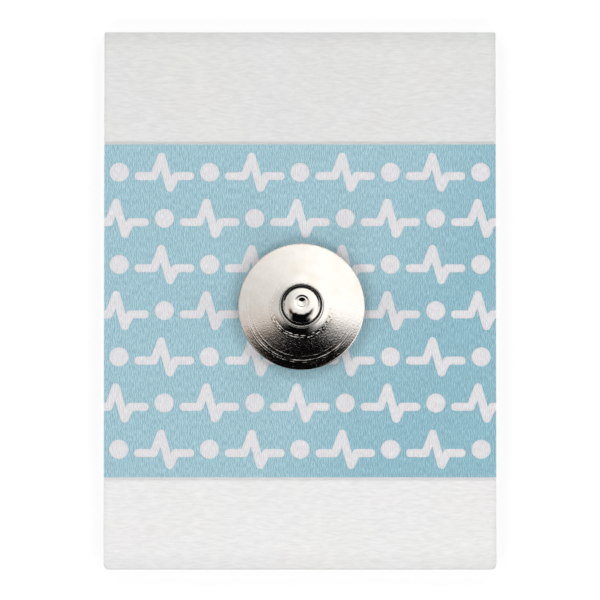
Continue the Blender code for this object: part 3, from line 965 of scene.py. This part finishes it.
def pen_outline(path, width):
    """The outline of a round pen drawn along a path: round ends and outer bends, sharp inner bends."""
    reach, quarter = width / 2, math.pi / 2
    headings = [math.atan2(b[1] - a[1], b[0] - a[0]) for a, b in zip(path, path[1:])]
    outline = []
    for onward in (True, False):
        points = path if onward else path[::-1]
        turns = headings if onward else [angle + math.pi for angle in headings[::-1]]
        for spot, before, after in zip(points[1:-1], turns, turns[1:]):
            bend = math.remainder(after - before, math.tau)
            if bend > 0:
                facets = max(1, round(bend / math.pi * CAP_FACETS))
                start = math.degrees(before - quarter)
                outline += arc(spot, reach, start, start + math.degrees(bend), facets)
            else:
                aside, inset = before + bend / 2 - quarter, reach / math.cos(bend / 2)
                outline.append((spot[0] + inset * math.cos(aside), spot[1] + inset * math.sin(aside)))
        start = math.degrees(turns[-1] - quarter)
        outline += arc(points[-1], reach, start, start + 180, CAP_FACETS)
    return outline


def trace_path():
    """One heartbeat about the middle of its box: level, a tall peak, a short dip, level."""
    half = TRACE_LENGTH / 2
    base = -(TRACE_RISE - TRACE_DIP) / 2
    peak, dip = (-0.12 * half, base + TRACE_RISE), (0.22 * half, base - TRACE_DIP)
    return [(-half, base), (-0.40 * half, base), peak, dip, (0.44 * half, base), (half, base)]


print("points round a trace:", len(pen_outline(trace_path(), STROKE)))

# %% Motif
MOTIF_HEIGHT = 0.5 * MM  # from under the ink to above it
motif_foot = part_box("label_stock")[0].z

shape = bmesh.new()
dot_outline = arc((PITCH[0] / 2, 0.0), DOT, 0, 360, DOT_FACETS)[:-1]
for outline in (pen_outline(trace_path(), STROKE), dot_outline):
    face = shape.faces.new([shape.verts.new((x, y, motif_foot)) for x, y in outline])
    raised = bmesh.ops.extrude_face_region(shape, geom=[face])["geom"]
    top_points = [item for item in raised if isinstance(item, bmesh.types.BMVert)]
    bmesh.ops.translate(shape, verts=top_points, vec=(0.0, 0.0, MOTIF_HEIGHT))
bmesh.ops.recalc_face_normals(shape, faces=shape.faces)
motif_mesh = bpy.data.meshes.new("motif")
shape.to_mesh(motif_mesh)
shape.free()
motif = in_scene("motif", motif_mesh)
print("motif faces:", len(motif_mesh.polygons))

# %% Print tree
press, given = new_tree("half_drop_print", {
    "Motif": "Object", "Pitch X": "Float", "Pitch Y": "Float", "Columns": "Int", "Rows": "Int",
    "Centre": "Vector", "Finish": "Material",
})
wide = add(press, "Math", {0: given["Columns"], 1: 1.0}, MINUS)
wide = add(press, "Math", {0: wide, 1: given["Pitch X"]}, TIMES)
tall = add(press, "Math", {0: given["Rows"], 1: 1.0}, MINUS)
tall = add(press, "Math", {0: tall, 1: given["Pitch Y"]}, TIMES)
lattice = add(press, "MeshGrid", {
    "Size X": wide, "Size Y": tall, "Vertices X": given["Columns"], "Vertices Y": given["Rows"],
})
height = add(press, "SeparateXYZ", {0: add(press, "InputPosition")}).outputs["Y"]
row = add(press, "Math", {0: height, 1: given["Pitch Y"]}, {"operation": "DIVIDE"})
row = add(press, "Math", {0: row}, {"operation": "ROUND"})
odd = add(press, "Math", {0: row, 1: 2.0}, {"operation": "FLOORED_MODULO"})
half_step = add(press, "Math", {0: given["Pitch X"], 1: 0.5}, TIMES)
shift = add(press, "Math", {0: odd, 1: half_step}, TIMES)
shift = add(press, "CombineXYZ", {"X": shift})
shift = add(press, "VectorMath", {0: shift, 1: given["Centre"]}, PLUS)
lattice = add(press, "SetPosition", {"Geometry": lattice, "Offset": shift})
mark = add(press, "ObjectInfo", {"Object": given["Motif"]}).outputs["Geometry"]
marks = add(press, "InstanceOnPoints", {"Points": lattice, "Instance": mark})
marks = add(press, "RealizeInstances", {"Geometry": marks})
opened = add(press, "MeshBoolean", {
    "Mesh 1": given["Geometry"], "Mesh 2": marks,
}, {"operation": "DIFFERENCE", "solver": "EXACT"})
real = add(press, "RealizeInstances", {"Geometry": opened})
coated = add(press, "SetMaterial", {"Geometry": real, "Material": given["Finish"]})
add(press, "NodeGroupOutput", {"Geometry": coated})
print("nodes in the print:", len(press.nodes))

# %% Ink layer
ink_low, ink_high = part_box("label_ink")
half_ink = (ink_high - ink_low) / 2
ink_middle = (ink_low + ink_high) / 2
values = {
    "Motif": motif,
    "Pitch X": PITCH[0],
    "Pitch Y": PITCH[1],
    "Columns": 2 * math.ceil(half_ink.x / PITCH[0]) + 1,
    "Rows": 2 * math.floor(half_ink.y / PITCH[1]) + 1,
    "Centre": (ink_middle.x, ink_middle.y, 0.0),
    "Finish": ink,
}
ink_mesh = cut_hole(label_layer("label_ink"), "ink_with_hole", POST_HOLE, POST_HOLE_FACETS)
ink_mesh = run_tree(ink_mesh, press, values)
bpy.data.objects.remove(motif)
ink_mesh.name = "label_print"
ink_mesh = outward(ink_mesh)
lift_layer(ink_mesh)
add_piece("blue_label_print", ink_mesh, "label_ink", ink)

# %% [markdown]
# ## Under the label
#
# The eyelet is a moulded disc with a post, coated with silver and silver chloride: a dull, purplish grey.
# The post goes up through the label into the hollow stud, where its spread tip holds it. Below it lies
# the gel: clear, wet and slightly milky, level with the foam so that both touch the skin. Both are turned
# shapes again, so the lathe makes them.

# %% Silver chloride
SILVER_GRAIN, SILVER_DEPTH = 0.12 * MM, 0.01 * MM

silver, tree = empty_material("silver_chloride_coated_plastic")
place = add(tree, "TexCoord").outputs["Object"]
grain = add(tree, "TexNoise", {"Vector": place, "Scale": 1 / SILVER_GRAIN, "Detail": 3.0})
coat = add(tree, "Mix", {"Factor": grain, "A": "#8E8A91", "B": "#B0ADB2"}, COLOURS)
bump = add(tree, "Bump", {"Height": grain, "Strength": 0.4, "Distance": SILVER_DEPTH})
surface = add(tree, "BsdfPrincipled", {
    "Base Color": coat, "Metallic": 0.6, "Roughness": 0.45, "Normal": bump,
})
add(tree, "OutputMaterial", {"Surface": surface})
print(silver.name, "nodes:", len(tree.nodes))

# %% Gel
RIPPLE, RIPPLE_DEPTH = 1.8 * MM, 0.05 * MM

gel, tree = empty_material("cast_conductive_hydrogel")
place = add(tree, "TexCoord").outputs["Object"]
ripple = add(tree, "TexNoise", {"Vector": place, "Scale": 1 / RIPPLE, "Detail": 2.0})
milk = add(tree, "Mix", {"Factor": ripple, "A": "#DCEBEC", "B": "#F1F7F7"}, COLOURS)
bump = add(tree, "Bump", {"Height": ripple, "Strength": 0.3, "Distance": RIPPLE_DEPTH})
surface = add(tree, "BsdfPrincipled", {
    "Base Color": milk, "Roughness": 0.14, "IOR": 1.37, "Transmission Weight": 0.75, "Normal": bump,
})
add(tree, "OutputMaterial", {"Surface": surface})
print(gel.name, "nodes:", len(tree.nodes))

# %% Eyelet
eyelet_low, eyelet_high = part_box("sensor_eyelet")
EYELET_RADIUS = (eyelet_high.x - eyelet_low.x) / 2
EYELET_TOP = eyelet_low.z + 0.45 * MM
POST, POST_TIP, POST_HEAD, TIP_HEIGHT = 1.15 * MM, 1.40 * MM, 0.60 * MM, 0.25 * MM
EDGE = 0.08 * MM
TURNED_STEPS, TURNED_CREASE = 128, math.radians(40)

eyelet_outline = [(0.0, eyelet_low.z)]
eyelet_outline += arc((EYELET_RADIUS - EDGE, eyelet_low.z + EDGE), EDGE, -90, 0, 6)
eyelet_outline += arc((EYELET_RADIUS - EDGE, EYELET_TOP - EDGE), EDGE, 0, 90, 6)
eyelet_outline += [(POST, EYELET_TOP), (POST, eyelet_high.z - POST_HEAD)]
eyelet_outline += arc((POST, eyelet_high.z - TIP_HEIGHT), POST_TIP - POST, 0, 90, 8, TIP_HEIGHT)
eyelet_outline += [(0.0, eyelet_high.z)]
eyelet_mesh = turned_mesh("sensor_eyelet", eyelet_outline, TURNED_STEPS, silver)
eyelet_mesh.set_sharp_from_angle(angle=TURNED_CREASE)
add_piece("silver_sensor_eyelet", eyelet_mesh, "sensor_eyelet", silver)

# %% Gel disc
gel_low, gel_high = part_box("gel_disc")
GEL_RADIUS = (gel_high.x - gel_low.x) / 2
GEL_EDGE = 0.12 * MM
RECESS_RADIUS, RECESS_FLOOR = EYELET_RADIUS + 0.10 * MM, eyelet_low.z - 0.02 * MM

gel_outline = [(0.0, gel_low.z)]
gel_outline += arc((GEL_RADIUS - GEL_EDGE, gel_low.z + GEL_EDGE), GEL_EDGE, -90, 0, 8)
gel_outline += [(GEL_RADIUS, gel_high.z), (RECESS_RADIUS, gel_high.z)]
gel_outline += [(RECESS_RADIUS, RECESS_FLOOR), (0.0, RECESS_FLOOR)]
gel_mesh = turned_mesh("gel_disc", gel_outline, TURNED_STEPS, gel)
gel_mesh.set_sharp_from_angle(angle=TURNED_CREASE)
add_piece("wet_gel_disc", gel_mesh, "gel_disc", gel)
